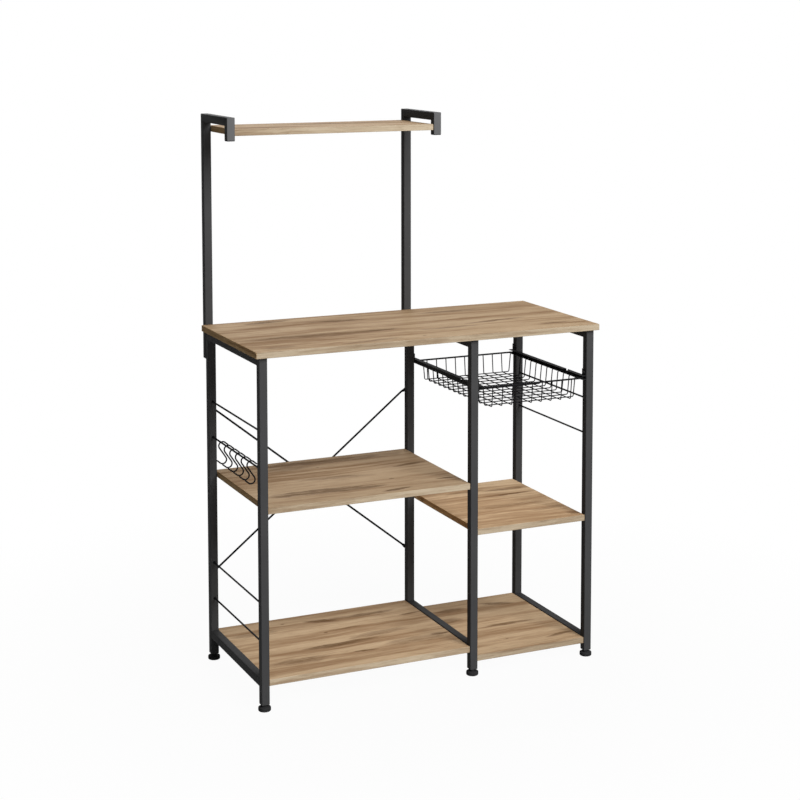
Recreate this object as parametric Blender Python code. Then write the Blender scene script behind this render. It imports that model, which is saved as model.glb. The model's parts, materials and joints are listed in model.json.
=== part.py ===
"""A microwave stand: three side frames of square tube that carry five boards, a hutch shelf on two
hooked-over brackets, a wire basket that slides in two channels, and six S-hooks on a side rod.

Metres, +Z up. The front faces -Y, and the origin lies on the floor under the middle of the footprint.
"""

import math

import bmesh
import bpy
from mathutils import Matrix, Vector

# Clearances
GAP = 0.0003
HOLE_CLEARANCE = 0.0003

# Worktop and the boards
WORKTOP_WIDTH = 0.900
WORKTOP_DEPTH = 0.400
WORKTOP_HEIGHT = 0.848
BOARD = 0.015
BOARD_EDGE = 0.0006
BOARD_SETBACK = 0.003
SIDE_OVERHANG = 0.010
FRONT_OVERHANG = 0.010
MID_LEFT_TOP = 0.481
MID_RIGHT_TOP = 0.365
BOTTOM_LEFT_TOP = 0.074
BOTTOM_RIGHT_TOP = 0.0495

# Square tube of the frames and the hutch
TUBE = 0.020
TUBE_WALL = 0.0012
TUBE_CORNER = 0.0018
LEFT_BAY = 0.520
LEG_CLEARANCE = 0.016
LEG_END_PLUG = 0.014
RAIL_LIP = 0.0025

# Round rods between the legs, by height
ROD_RADIUS = 0.0024
UPPER_ROD_HEIGHT = 0.658
HOOK_ROD_HEIGHT = 0.569
THIRD_ROD_HEIGHT = 0.250
LOWEST_ROD_HEIGHT = 0.159

# Hutch
HUTCH_HEIGHT = 1.370
HUTCH_DEPTH = 0.200
HUTCH_LAP = 0.085
HUTCH_DROP = 0.056
TOP_SHELF_DROP = 0.009
HUTCH_BOLT_SPACING = 0.040

# Crossed back braces
BRACE_TOP = 0.643
BRACE_BOTTOM = 0.212
BRACE_RADIUS = 0.0025
BRACE_TAB = 0.0020
BRACE_TAB_WIDTH = 0.0095
BRACE_TAB_REACH = 0.0075
BRACE_TAB_LENGTH = 0.019
BRACE_NOSE_WIDTH = 0.0045
BRACE_NOSE_LENGTH = 0.0036
BRACE_TAPER = 0.008

# Screws and bolts
SCREW_RADIUS = 0.0020
SCREW_HEAD_RADIUS = 0.0040
SCREW_HEAD = 0.0024
BOLT_RADIUS = 0.0025
BOLT_HEAD_RADIUS = 0.0050
BOLT_HEAD = 0.0030
HEAD_CHAMFER = 0.0008
TIP_CHAMFER = 0.0010
THREAD_LENGTH = 0.008

# Levelling feet
FOOT_RADIUS = 0.0150
FOOT_HEIGHT = 0.0100
FOOT_ROUNDING = 0.0025
NECK_RADIUS = 0.0065
STUD_RADIUS = 0.0030
STUD_LENGTH = 0.022

# Basket and its two channels
CHANNEL_DROP = 0.139
CHANNEL_HEIGHT = 0.010
CHANNEL_FLANGE = 0.012
CHANNEL_SHEET = 0.0012
CHANNEL_TAB = 0.015
NOTCH_WIDTH = 0.009
NOTCH_SETBACK = 0.091
NOTCH_DEPTH = 0.007
NOTCH_LEAD = 0.012
RIM_RADIUS = 0.0022
RIM_CORNER = 0.010
RIM_LEAD = 0.003
RIM_SIDE_PLAY = 0.0008
RIM_FRONT_SETBACK = 0.001
RIM_BACK_SETBACK = 0.008
WIRE_RADIUS = 0.0013
WIRE_BEND = 0.004
WIRE_PLAY = 0.0079
WELD_DEPTH = 0.0004
BASKET_DEPTH = 0.050
BASKET_TAPER_X = 0.0045
BASKET_TAPER_Y = 0.0050
CROSS_WIRE_PITCH = 0.0286
LONG_WIRE_PITCH = 0.0274

# S-hooks
HOOK_COUNT = 6
HOOK_PITCH = 0.0413
HOOK_FIRST = 0.073
HOOK_WIRE_RADIUS = 0.0018
HOOK_LOOP_RADIUS = 0.0098
HOOK_LOOP_CENTRE = 0.0176
HOOK_TAIL = 0.0115
HOOK_TAIL_ANGLE = math.radians(50)

# Sides of the turned and swept shapes
WIRE_SIDES = 6
ROD_SIDES = 8
SCREW_SIDES = 8
FOOT_SIDES = 16

# Places worked out from the sizes above
TOTAL_DEPTH = WORKTOP_DEPTH + GAP + TUBE + GAP + BOLT_HEAD
Y_WORKTOP_FRONT = -TOTAL_DEPTH / 2
Y_WORKTOP_BACK = Y_WORKTOP_FRONT + WORKTOP_DEPTH
Y_LEG_FRONT = Y_WORKTOP_FRONT + FRONT_OVERHANG
Y_LEG_BACK = Y_WORKTOP_BACK
X_LEFT = -WORKTOP_WIDTH / 2 + SIDE_OVERHANG
X_MIDDLE = X_LEFT + TUBE + LEFT_BAY
X_RIGHT = WORKTOP_WIDTH / 2 - SIDE_OVERHANG - TUBE
FRAMES = {"left": X_LEFT, "middle": X_MIDDLE, "right": X_RIGHT}
HUTCH_FRAMES = ("left", "middle")
LEG_PLACES = {"front": Y_LEG_FRONT + TUBE / 2, "rear": Y_LEG_BACK - TUBE / 2}
LEG_TOP = WORKTOP_HEIGHT - BOARD - GAP
Y_RAIL_START = Y_LEG_FRONT + TUBE + GAP
Y_RAIL_END = Y_LEG_BACK - TUBE - GAP
Y_POST = Y_LEG_BACK + GAP + TUBE / 2
Y_DROP = Y_POST + TUBE - HUTCH_DEPTH
POST_BOTTOM = WORKTOP_HEIGHT - HUTCH_LAP
CHANNEL_BOTTOM = WORKTOP_HEIGHT - CHANNEL_DROP
CHANNEL_TOP = CHANNEL_BOTTOM + CHANNEL_HEIGHT
RIM_HEIGHT = CHANNEL_BOTTOM + CHANNEL_SHEET + GAP + RIM_RADIUS
RIM_INSET = GAP + CHANNEL_SHEET + RIM_SIDE_PLAY + RIM_RADIUS
BASKET_X = (X_MIDDLE + TUBE + RIM_INSET, X_RIGHT - RIM_INSET)
BASKET_Y = (Y_LEG_FRONT + RIM_FRONT_SETBACK + RIM_RADIUS, Y_LEG_BACK - RIM_BACK_SETBACK - RIM_RADIUS)
SHOULDER = GAP + CHANNEL_FLANGE + WIRE_PLAY + WIRE_RADIUS - RIM_INSET
WIRE_FLAT = WIRE_RADIUS * math.cos(math.pi / WIRE_SIDES)
LONG_WIRE_HEIGHT = RIM_HEIGHT - BASKET_DEPTH
CROSS_WIRE_HEIGHT = LONG_WIRE_HEIGHT + 2 * WIRE_FLAT - WELD_DEPTH
FLOOR_INSET_X = SHOULDER + BASKET_TAPER_X + WIRE_BEND
FLOOR_INSET_Y = BASKET_TAPER_Y + WIRE_BEND
FLOOR_X = (BASKET_X[0] + FLOOR_INSET_X, BASKET_X[1] - FLOOR_INSET_X)
FLOOR_Y = (BASKET_Y[0] + FLOOR_INSET_Y, BASKET_Y[1] - FLOOR_INSET_Y)

# How a piece that is drawn along +Z is turned to run along an axis
ALONG = {
    "z": Matrix.Identity(4),
    "-y": Matrix.Rotation(math.pi / 2, 4, "X"),
    "x": Matrix.Rotation(math.pi / 2, 4, "Y"),
    "-x": Matrix.Rotation(-math.pi / 2, 4, "Y"),
}
UNIT_X = Vector((1, 0, 0))
UNIT_Y = Vector((0, 1, 0))
UNIT_Z = Vector((0, 0, 1))

# Colour, roughness and metallic value of each finish
WOOD = ((0.42, 0.30, 0.20), 0.55, 0.0)
BLACK_STEEL = ((0.030, 0.030, 0.032), 0.45, 0.4)
BLACK_WIRE = ((0.018, 0.018, 0.019), 0.40, 0.5)
BLACK_SCREW = ((0.045, 0.045, 0.047), 0.35, 0.8)
BLACK_PLASTIC = ((0.022, 0.022, 0.023), 0.55, 0.0)


def clear_scene():
    for item in list(bpy.data.objects):
        bpy.data.objects.remove(item, do_unlink=True)


def make_material(name, finish):
    colour, roughness, metallic = finish
    material = bpy.data.materials.new(name)
    material.use_nodes = True
    shader = material.node_tree.nodes["Principled BSDF"]
    shader.inputs["Base Color"].default_value = (*colour, 1.0)
    shader.inputs["Roughness"].default_value = roughness
    shader.inputs["Metallic"].default_value = metallic
    material.diffuse_color = (*colour, 1.0)
    return material


def make_piece(name, bm, finish, origin, smooth=False):
    """Turns a bmesh drawn in world coordinates into a named object whose origin is the given point."""
    bmesh.ops.translate(bm, verts=bm.verts, vec=-Vector(origin))
    mesh = bpy.data.meshes.new(name)
    bm.to_mesh(mesh)
    bm.free()
    if smooth:
        mesh.shade_smooth()
        mesh.set_sharp_from_angle(angle=math.radians(40))
    piece = bpy.data.objects.new(name, mesh)
    piece.location = origin
    piece.data.materials.append(make_material(name, finish))
    bpy.context.scene.collection.objects.link(piece)
    return piece


def combine(target, operation, bm):
    """Joins a bmesh drawn in world coordinates to a piece, or cuts it out of the piece."""
    tool = make_piece(target.name + "_tool", bm, BLACK_STEEL, (0, 0, 0))
    tool.hide_render = True
    tool.display_type = "WIRE"
    modifier = target.modifiers.new("combine", "BOOLEAN")
    modifier.operation = operation
    modifier.solver = "EXACT"
    modifier.object = tool
    bpy.context.view_layer.update()
    with bpy.context.temp_override(object=target, active_object=target, selected_objects=[target]):
        bpy.ops.object.modifier_apply(modifier=modifier.name)
    bpy.data.objects.remove(tool, do_unlink=True)


def drill(target, places, radius, length, sides=SCREW_SIDES):
    """Cuts round holes. Each place puts a hole's middle and its direction, which is local +Z."""
    bm = bmesh.new()
    for place in places:
        bmesh.ops.create_cone(bm, cap_ends=True, segments=sides, radius1=radius, radius2=radius,
                              depth=length, matrix=place)
    combine(target, "DIFFERENCE", bm)


def join_rings(bm, rings, closed=False):
    """Joins rings of equal length with quads, and caps the ends of an open run."""
    pairs = list(zip(rings, rings[1:]))
    if closed:
        pairs.append((rings[-1], rings[0]))
    for low, high in pairs:
        for i in range(len(low)):
            j = (i + 1) % len(low)
            bm.faces.new((low[i], low[j], high[j], high[i]))
    if not closed:
        bm.faces.new(list(reversed(rings[0])))
        bm.faces.new(rings[-1])


def add_box(bm, low, high, edge=0.0):
    """A box between two corners, with its edges chamfered if asked."""
    low, high = Vector(low), Vector(high)
    place = Matrix.Translation((low + high) / 2) @ Matrix.Diagonal((*(high - low), 1.0))
    made = bmesh.ops.create_cube(bm, size=1.0, matrix=place)
    if edge:
        edges = list({e for v in made["verts"] for e in v.link_edges})
        bmesh.ops.bevel(bm, geom=edges, offset=edge, offset_type="OFFSET", segments=1, profile=0.5,
                        affect="EDGES")


def add_turned(bm, place, profile, sides):
    """A solid of revolution about local +Z, from (radius, height) pairs that climb."""
    angles = [2 * math.pi * i / sides for i in range(sides)]
    circle = [(math.cos(a), math.sin(a)) for a in angles]
    rings = [[bm.verts.new(place @ Vector((radius * u, radius * v, height))) for u, v in circle]
             for radius, height in profile]
    join_rings(bm, rings)


def station_frames(points, normal, closed=False):
    """The sideways vector at each point of a plane path, lengthened where the path turns."""
    last = len(points) - 1
    sideways = []
    for i, point in enumerate(points):
        runs = []
        if i > 0 or closed:
            runs.append((point - points[i - 1]).normalized())
        if i < last or closed:
            runs.append((points[(i + 1) % len(points)] - point).normalized())
        tangent = (runs[0] + runs[-1]).normalized()
        sideways.append(normal.cross(tangent) / tangent.dot(runs[0]))
    return sideways


def add_sweep(bm, points, normal, sizes, sides, closed=False):
    """A wire along points that lie in a plane with the given normal.

    sizes is one radius, or a half width across the plane and a half thickness in it for each point.
    """
    angles = [2 * math.pi * (k + 0.5) / sides for k in range(sides)]
    rings = []
    for i, side in enumerate(station_frames(points, normal, closed)):
        wide, thick = (sizes, sizes) if isinstance(sizes, float) else sizes[i]
        rings.append([bm.verts.new(points[i] + side * (math.cos(a) * thick) + normal * (math.sin(a) * wide))
                      for a in angles])
    join_rings(bm, rings, closed)


def rounded_square(side, radius, steps=2):
    """Corner points of a square with round corners, counter-clockwise about the origin."""
    reach = side / 2 - radius
    points = []
    for corner, (sx, sy) in enumerate(((1, 1), (-1, 1), (-1, -1), (1, -1))):
        for step in range(steps + 1):
            angle = math.pi / 2 * (corner + step / steps)
            points.append((sx * reach + radius * math.cos(angle), sy * reach + radius * math.sin(angle)))
    return points


def add_tube(bm, points, normal):
    """A square tube with open ends and mitred corners, along a path in a plane with the given normal."""
    sideways = station_frames(points, normal)
    walls = []
    for side, radius in ((TUBE, TUBE_CORNER), (TUBE - 2 * TUBE_WALL, TUBE_CORNER - TUBE_WALL)):
        outline = rounded_square(side, radius)
        walls.append([[bm.verts.new(point + across * u + normal * v) for u, v in outline]
                      for point, across in zip(points, sideways)])
    outer, inner = walls
    count = len(outer[0])
    for i in range(count):
        j = (i + 1) % count
        for station in range(len(points) - 1):
            low, high = outer[station], outer[station + 1]
            bm.faces.new((low[i], low[j], high[j], high[i]))
            low, high = inner[station], inner[station + 1]
            bm.faces.new((low[j], low[i], high[i], high[j]))
        bm.faces.new((outer[0][j], outer[0][i], inner[0][i], inner[0][j]))
        bm.faces.new((outer[-1][i], outer[-1][j], inner[-1][j], inner[-1][i]))


def arc(centre, radius, start, end, steps, u, v):
    """Points on an arc about a centre, in the plane of the unit vectors u and v. Angles are radians."""
    angles = [start + (end - start) * i / steps for i in range(steps + 1)]
    return [centre + u * (radius * math.cos(a)) + v * (radius * math.sin(a)) for a in angles]


def spread(start, end, pitch):
    """Places at a steady pitch, centred between two limits."""
    count = int((end - start) / pitch)
    first = (start + end - count * pitch) / 2
    return [first + i * pitch for i in range(count + 1)]


def board_piece(name, low, high):
    low, high = Vector(low), Vector(high)
    bm = bmesh.new()
    add_box(bm, low, high, BOARD_EDGE)
    return make_piece(name, bm, WOOD, (low + high) / 2)


def tube_piece(name, points, normal):
    points = [Vector(p) for p in points]
    bm = bmesh.new()
    add_tube(bm, points, normal)
    return make_piece(name, bm, BLACK_STEEL, points[0])


def screw_piece(name, place, radius, head_radius, head, length):
    """A screw whose head starts at the place, with its shank along local +Z."""
    end = head + length
    profile = [(head_radius - HEAD_CHAMFER, 0.0), (head_radius, HEAD_CHAMFER), (head_radius, head),
               (radius, head), (radius, end - TIP_CHAMFER), (radius - TIP_CHAMFER, end)]
    bm = bmesh.new()
    add_turned(bm, place, profile, SCREW_SIDES)
    return make_piece(name, bm, BLACK_SCREW, place.to_translation(), smooth=True)


def build_boards():
    """The worktop, and the four shelves between the frames."""
    half = WORKTOP_WIDTH / 2
    board_piece("worktop", (-half, Y_WORKTOP_FRONT, WORKTOP_HEIGHT - BOARD),
                (half, Y_WORKTOP_BACK, WORKTOP_HEIGHT))
    shelves = (("mid_shelf_left", "left", "middle", MID_LEFT_TOP),
               ("mid_shelf_right", "middle", "right", MID_RIGHT_TOP),
               ("bottom_shelf_left", "left", "middle", BOTTOM_LEFT_TOP),
               ("bottom_shelf_right", "middle", "right", BOTTOM_RIGHT_TOP))
    for name, left, right, top in shelves:
        board_piece(name, (FRAMES[left] + TUBE + GAP, Y_LEG_FRONT + BOARD_SETBACK, top - BOARD),
                    (FRAMES[right] - GAP, Y_LEG_BACK - BOARD_SETBACK, top))


def build_legs():
    """Six legs. Each has a plug welded into its lower end, with the hole for a foot's stud."""
    legs = {}
    half = (TUBE - TUBE_WALL) / 2
    for frame, left in FRAMES.items():
        for row, y in LEG_PLACES.items():
            x = left + TUBE / 2
            leg = tube_piece(f"leg_{row}_{frame}", [(x, y, LEG_CLEARANCE), (x, y, LEG_TOP)], UNIT_X)
            plug = bmesh.new()
            add_box(plug, (x - half, y - half, LEG_CLEARANCE + TUBE_WALL / 2),
                    (x + half, y + half, LEG_CLEARANCE + LEG_END_PLUG))
            combine(leg, "UNION", plug)
            place = Matrix.Translation((x, y, LEG_CLEARANCE + LEG_END_PLUG / 2))
            drill(leg, [place], STUD_RADIUS + HOLE_CLEARANCE, 2 * LEG_END_PLUG, FOOT_SIDES)
            legs[row, frame] = leg
    return legs


def build_rails():
    """The square rails that join the front and rear leg of each frame at the top and the bottom."""
    for frame, left in FRAMES.items():
        x = left + TUBE / 2
        shelf_top = BOTTOM_RIGHT_TOP if frame == "right" else BOTTOM_LEFT_TOP
        heights = {"top": LEG_TOP - TUBE / 2, "bottom": shelf_top + RAIL_LIP - TUBE / 2}
        for level, z in heights.items():
            tube_piece(f"{level}_rail_{frame}", [(x, Y_RAIL_START, z), (x, Y_RAIL_END, z)], UNIT_X)


def build_side_rods():
    rods = {"side_rod_left_upper": ("left", UPPER_ROD_HEIGHT),
            "hook_rod": ("left", HOOK_ROD_HEIGHT),
            "side_rod_left_third": ("left", THIRD_ROD_HEIGHT),
            "side_rod_left_lowest": ("left", LOWEST_ROD_HEIGHT),
            "side_rod_right_upper": ("right", UPPER_ROD_HEIGHT),
            "side_rod_right_lower": ("right", HOOK_ROD_HEIGHT)}
    for name, (frame, z) in rods.items():
        x = FRAMES[frame] + TUBE / 2
        ends = [Vector((x, y, z)) for y in (Y_RAIL_START, Y_RAIL_END)]
        bm = bmesh.new()
        add_sweep(bm, ends, UNIT_Z, ROD_RADIUS, ROD_SIDES)
        make_piece(name, bm, BLACK_WIRE, (x, (Y_RAIL_START + Y_RAIL_END) / 2, z), smooth=True)


def build_hutch(legs):
    """Two brackets that stand behind the rear legs and hook forwards, their bolts, and the top shelf."""
    arm = HUTCH_HEIGHT - TUBE / 2
    lowest = POST_BOTTOM + HUTCH_BOLT_SPACING / 2
    heights = {"lower": lowest, "upper": lowest + HUTCH_BOLT_SPACING}
    head = Y_POST + TUBE / 2 + GAP + BOLT_HEAD
    shank = GAP + TUBE + GAP + THREAD_LENGTH
    for frame in HUTCH_FRAMES:
        x = FRAMES[frame] + TUBE / 2
        path = [(x, Y_POST, POST_BOTTOM), (x, Y_POST, arm), (x, Y_DROP, arm),
                (x, Y_DROP, HUTCH_HEIGHT - HUTCH_DROP)]
        bracket = tube_piece(f"hutch_bracket_{frame}", path, UNIT_X)
        places = [Matrix.Translation((x, Y_POST, z)) @ ALONG["-y"] for z in heights.values()]
        drill(bracket, places, BOLT_RADIUS + HOLE_CLEARANCE, 2 * TUBE)
        drill_leg_backs(legs["rear", frame], x, heights.values(), BOLT_RADIUS)
        for level, z in heights.items():
            place = Matrix.Translation((x, head, z)) @ ALONG["-y"]
            screw_piece(f"hutch_bolt_{frame}_{level}", place, BOLT_RADIUS, BOLT_HEAD_RADIUS, BOLT_HEAD,
                        shank)
    top = HUTCH_HEIGHT - TUBE - TOP_SHELF_DROP
    board_piece("top_shelf", (X_LEFT + TUBE + GAP, Y_DROP - TUBE / 2 + BOARD_SETBACK, top - BOARD),
                (X_MIDDLE - GAP, Y_POST + TUBE / 2 - BOARD_SETBACK, top))


def drill_leg_backs(leg, x, heights, radius):
    """Holes in the rear wall of a rear leg, on its centre line."""
    places = [Matrix.Translation((x, Y_LEG_BACK, z)) @ ALONG["-y"] for z in heights]
    drill(leg, places, radius + HOLE_CLEARANCE, 4 * TUBE_WALL)


def brace_piece(name, start, end, rod_back):
    """One brace: a flat tab at each end, a taper, and a round rod set back from the legs."""
    run = (end - start).normalized()
    total = (end - start).length
    tab_back = GAP + BRACE_TAB / 2
    tab = (BRACE_TAB_WIDTH / 2, BRACE_TAB / 2)
    tab_end = BRACE_TAB_LENGTH - BRACE_TAB_REACH
    stations = [(-BRACE_TAB_REACH, tab_back, (BRACE_NOSE_WIDTH / 2, BRACE_TAB / 2)),
                (-BRACE_TAB_REACH + BRACE_NOSE_LENGTH, tab_back, tab),
                (tab_end, tab_back, tab),
                (tab_end + BRACE_TAPER, rod_back, (BRACE_RADIUS, BRACE_RADIUS))]
    stations += [(total - s, back, size) for s, back, size in reversed(stations)]
    points = [start + run * s + UNIT_Y * back for s, back, size in stations]
    bm = bmesh.new()
    add_sweep(bm, points, run.cross(UNIT_Y), [size for s, back, size in stations], ROD_SIDES)
    piece = make_piece(name, bm, BLACK_WIRE, (start + end) / 2, smooth=True)
    places = [Matrix.Translation(centre) @ ALONG["-y"] for centre in (start, end)]
    drill(piece, places, SCREW_RADIUS + HOLE_CLEARANCE, 4 * BRACE_TAB)
    return piece


def build_braces(legs):
    """Two rods with flattened ends, crossed behind the left bay and screwed to the rear legs."""
    corners = {(frame, level): Vector((FRAMES[frame] + TUBE / 2, Y_LEG_BACK, z))
               for frame in HUTCH_FRAMES for level, z in (("upper", BRACE_TOP), ("lower", BRACE_BOTTOM))}
    near = GAP + BRACE_RADIUS
    far = near + 2 * BRACE_RADIUS + GAP
    brace_piece("brace_falling", corners["left", "upper"], corners["middle", "lower"], near)
    brace_piece("brace_rising", corners["left", "lower"], corners["middle", "upper"], far)
    for frame in HUTCH_FRAMES:
        x = FRAMES[frame] + TUBE / 2
        drill_leg_backs(legs["rear", frame], x, (BRACE_TOP, BRACE_BOTTOM), SCREW_RADIUS)
    stack = 2 * GAP + BRACE_TAB
    for (frame, level), corner in corners.items():
        place = Matrix.Translation(corner + UNIT_Y * (stack + SCREW_HEAD)) @ ALONG["-y"]
        screw_piece(f"brace_screw_{frame}_{level}", place, SCREW_RADIUS, SCREW_HEAD_RADIUS, SCREW_HEAD,
                    stack + THREAD_LENGTH)


def build_feet():
    """Round levelling feet. Each stud runs in the plug of its leg, and the origin is where the two meet."""
    rim = FOOT_ROUNDING
    half_round = rim * (1 - math.cos(math.radians(45)))
    neck_top = LEG_CLEARANCE - GAP
    profile = [(FOOT_RADIUS - rim, 0.0), (FOOT_RADIUS - half_round, half_round), (FOOT_RADIUS, rim),
               (FOOT_RADIUS, FOOT_HEIGHT - rim), (FOOT_RADIUS - half_round, FOOT_HEIGHT - half_round),
               (FOOT_RADIUS - rim, FOOT_HEIGHT), (NECK_RADIUS, FOOT_HEIGHT + GAP), (NECK_RADIUS, neck_top),
               (STUD_RADIUS, neck_top), (STUD_RADIUS, LEG_CLEARANCE + STUD_LENGTH)]
    for frame, left in FRAMES.items():
        for row, y in LEG_PLACES.items():
            x = left + TUBE / 2
            bm = bmesh.new()
            add_turned(bm, Matrix.Translation((x, y, 0)), profile, FOOT_SIDES)
            make_piece(f"foot_{row}_{frame}", bm, BLACK_PLASTIC, (x, y, LEG_CLEARANCE), smooth=True)


def build_channels(legs):
    """The C channels that carry the basket's rim, each with an upright tab and a screw at both ends."""
    sides = {"left": ("middle", X_MIDDLE + TUBE, 1), "right": ("right", X_RIGHT, -1)}
    stack = 2 * GAP + CHANNEL_SHEET
    screw_height = CHANNEL_TOP + CHANNEL_TAB / 2
    for side, (frame, face, sign) in sides.items():
        channel = channel_piece(f"basket_channel_{side}", face, sign)
        towards_leg = ALONG["-x" if sign > 0 else "x"]
        places = [Matrix.Translation((face, y, screw_height)) @ towards_leg for y in LEG_PLACES.values()]
        drill(channel, places, SCREW_RADIUS + HOLE_CLEARANCE, 4 * CHANNEL_SHEET)
        for (row, y), place in zip(LEG_PLACES.items(), places):
            drill(legs[row, frame], [place], SCREW_RADIUS + HOLE_CLEARANCE, 4 * TUBE_WALL)
            head = Matrix.Translation((face + sign * (stack + SCREW_HEAD), y, screw_height)) @ towards_leg
            screw_piece(f"channel_screw_{row}_{side}", head, SCREW_RADIUS, SCREW_HEAD_RADIUS, SCREW_HEAD,
                        stack + THREAD_LENGTH)


def channel_piece(name, face, sign):
    """A channel whose web lies on a leg's inner face. A notch near its front end is wider in the flange."""
    tab_top = CHANNEL_TOP + CHANNEL_TAB
    notch = Y_LEG_FRONT + NOTCH_SETBACK
    notch_bottom = CHANNEL_TOP - NOTCH_DEPTH
    outline = [(Y_LEG_FRONT, CHANNEL_BOTTOM), (Y_LEG_BACK, CHANNEL_BOTTOM), (Y_LEG_BACK, tab_top),
               (Y_LEG_BACK - TUBE, tab_top), (Y_LEG_BACK - TUBE, CHANNEL_TOP),
               (notch + NOTCH_WIDTH, CHANNEL_TOP), (notch + NOTCH_WIDTH, notch_bottom),
               (notch, notch_bottom), (notch, CHANNEL_TOP),
               (Y_LEG_FRONT + TUBE, CHANNEL_TOP), (Y_LEG_FRONT + TUBE, tab_top), (Y_LEG_FRONT, tab_top)]
    web = sorted((face + sign * GAP, face + sign * (GAP + CHANNEL_SHEET)))
    bm = bmesh.new()
    join_rings(bm, [[bm.verts.new((x, y, z)) for y, z in outline] for x in web])
    channel = make_piece(name, bm, BLACK_STEEL, (face, 0, CHANNEL_BOTTOM))
    flange = sorted((face + sign * (GAP + CHANNEL_SHEET / 2), face + sign * (GAP + CHANNEL_FLANGE)))
    spans = ((CHANNEL_BOTTOM, Y_LEG_FRONT, Y_LEG_BACK),
             (CHANNEL_TOP - CHANNEL_SHEET, Y_LEG_FRONT, notch - NOTCH_LEAD),
             (CHANNEL_TOP - CHANNEL_SHEET, notch + NOTCH_WIDTH, Y_LEG_BACK))
    flanges = bmesh.new()
    for z, start, end in spans:
        add_box(flanges, (flange[0], start, z), (flange[1], end, z + CHANNEL_SHEET))
    combine(channel, "UNION", flanges)
    return channel


def side_wire(edge, inward, y):
    """A side wall's wire: in from the rim past the channel's flange and down the wall to the floor."""
    rim = Vector((edge, y, RIM_HEIGHT))
    shoulder = rim + inward * SHOULDER
    foot = shoulder + inward * BASKET_TAPER_X + UNIT_Z * (CROSS_WIRE_HEIGHT + WIRE_BEND - RIM_HEIGHT)
    return [rim, shoulder] + arc(foot + inward * WIRE_BEND, WIRE_BEND, 0, math.pi / 2, 3, -inward, -UNIT_Z)


def end_wire(edge, inward, x):
    """A front or back wall's wire: down from the rim, leaning in, to the floor."""
    rim = Vector((x, edge, RIM_HEIGHT))
    foot = rim + inward * BASKET_TAPER_Y + UNIT_Z * (LONG_WIRE_HEIGHT + WIRE_BEND - RIM_HEIGHT)
    return [rim] + arc(foot + inward * WIRE_BEND, WIRE_BEND, 0, math.pi / 2, 3, -inward, -UNIT_Z)


def end_rim(edge, inward):
    """The rim along the front or the back, with the two round corners and a short lead past each."""
    middle_y = edge + inward.y * RIM_CORNER
    left = Vector((BASKET_X[0] + RIM_CORNER, middle_y, RIM_HEIGHT))
    right = Vector((BASKET_X[1] - RIM_CORNER, middle_y, RIM_HEIGHT))
    bends = (arc(left, RIM_CORNER, 0, math.pi / 2, 4, -UNIT_X, -inward)
             + arc(right, RIM_CORNER, math.pi / 2, 0, 4, UNIT_X, -inward))
    lead = inward * RIM_LEAD
    return [bends[0] + lead] + bends + [bends[-1] + lead]


def basket_piece(name, slide, frame_paths, frame_normal, frame_radius, wire_paths, wire_normal):
    """Wires welded to a length of rim, or to the wires that cross them, as one body."""
    bm = bmesh.new()
    for path in frame_paths:
        add_sweep(bm, path, frame_normal, frame_radius, WIRE_SIDES)
    piece = make_piece(name, bm, BLACK_WIRE, slide.location, smooth=True)
    wires = bmesh.new()
    for path in wire_paths:
        add_sweep(wires, path, wire_normal, WIRE_RADIUS, WIRE_SIDES)
    combine(piece, "UNION", wires)
    piece.parent = slide
    piece.location = (0, 0, 0)


def build_basket():
    """The basket's two side walls, two end walls and floor, on one empty that carries its slide."""
    slide = bpy.data.objects.new("basket_slide", None)
    slide.location = ((BASKET_X[0] + BASKET_X[1]) / 2, BASKET_Y[0], RIM_HEIGHT)
    bpy.context.scene.collection.objects.link(slide)
    keep_off = WIRE_RADIUS + 2 * GAP
    long_places = spread(FLOOR_X[0] + keep_off, FLOOR_X[1] - keep_off, LONG_WIRE_PITCH)
    cross_places = spread(FLOOR_Y[0] + keep_off, FLOOR_Y[1] - keep_off, CROSS_WIRE_PITCH)
    corner = RIM_CORNER + RIM_LEAD + GAP
    rim_ends = (BASKET_Y[0] + corner, BASKET_Y[1] - corner)
    for side, edge, inward in (("left", BASKET_X[0], UNIT_X), ("right", BASKET_X[1], -UNIT_X)):
        rim = [Vector((edge, y, RIM_HEIGHT)) for y in rim_ends]
        wires = [side_wire(edge, inward, y) for y in cross_places]
        basket_piece(f"basket_side_{side}", slide, [rim], UNIT_Z, RIM_RADIUS, wires, UNIT_Y)
    for side, edge, inward in (("front", BASKET_Y[0], UNIT_Y), ("back", BASKET_Y[1], -UNIT_Y)):
        wires = [end_wire(edge, inward, x) for x in long_places]
        basket_piece(f"basket_{side}", slide, [end_rim(edge, inward)], UNIT_Z, RIM_RADIUS, wires, UNIT_X)
    ends_x = (FLOOR_X[0] + GAP, FLOOR_X[1] - GAP)
    ends_y = (FLOOR_Y[0] + GAP, FLOOR_Y[1] - GAP)
    cross = [[Vector((x, y, CROSS_WIRE_HEIGHT)) for x in ends_x] for y in cross_places]
    along = [[Vector((x, y, LONG_WIRE_HEIGHT)) for y in ends_y] for x in long_places]
    basket_piece("basket_floor", slide, cross, UNIT_Y, WIRE_RADIUS, along, UNIT_X)


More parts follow.
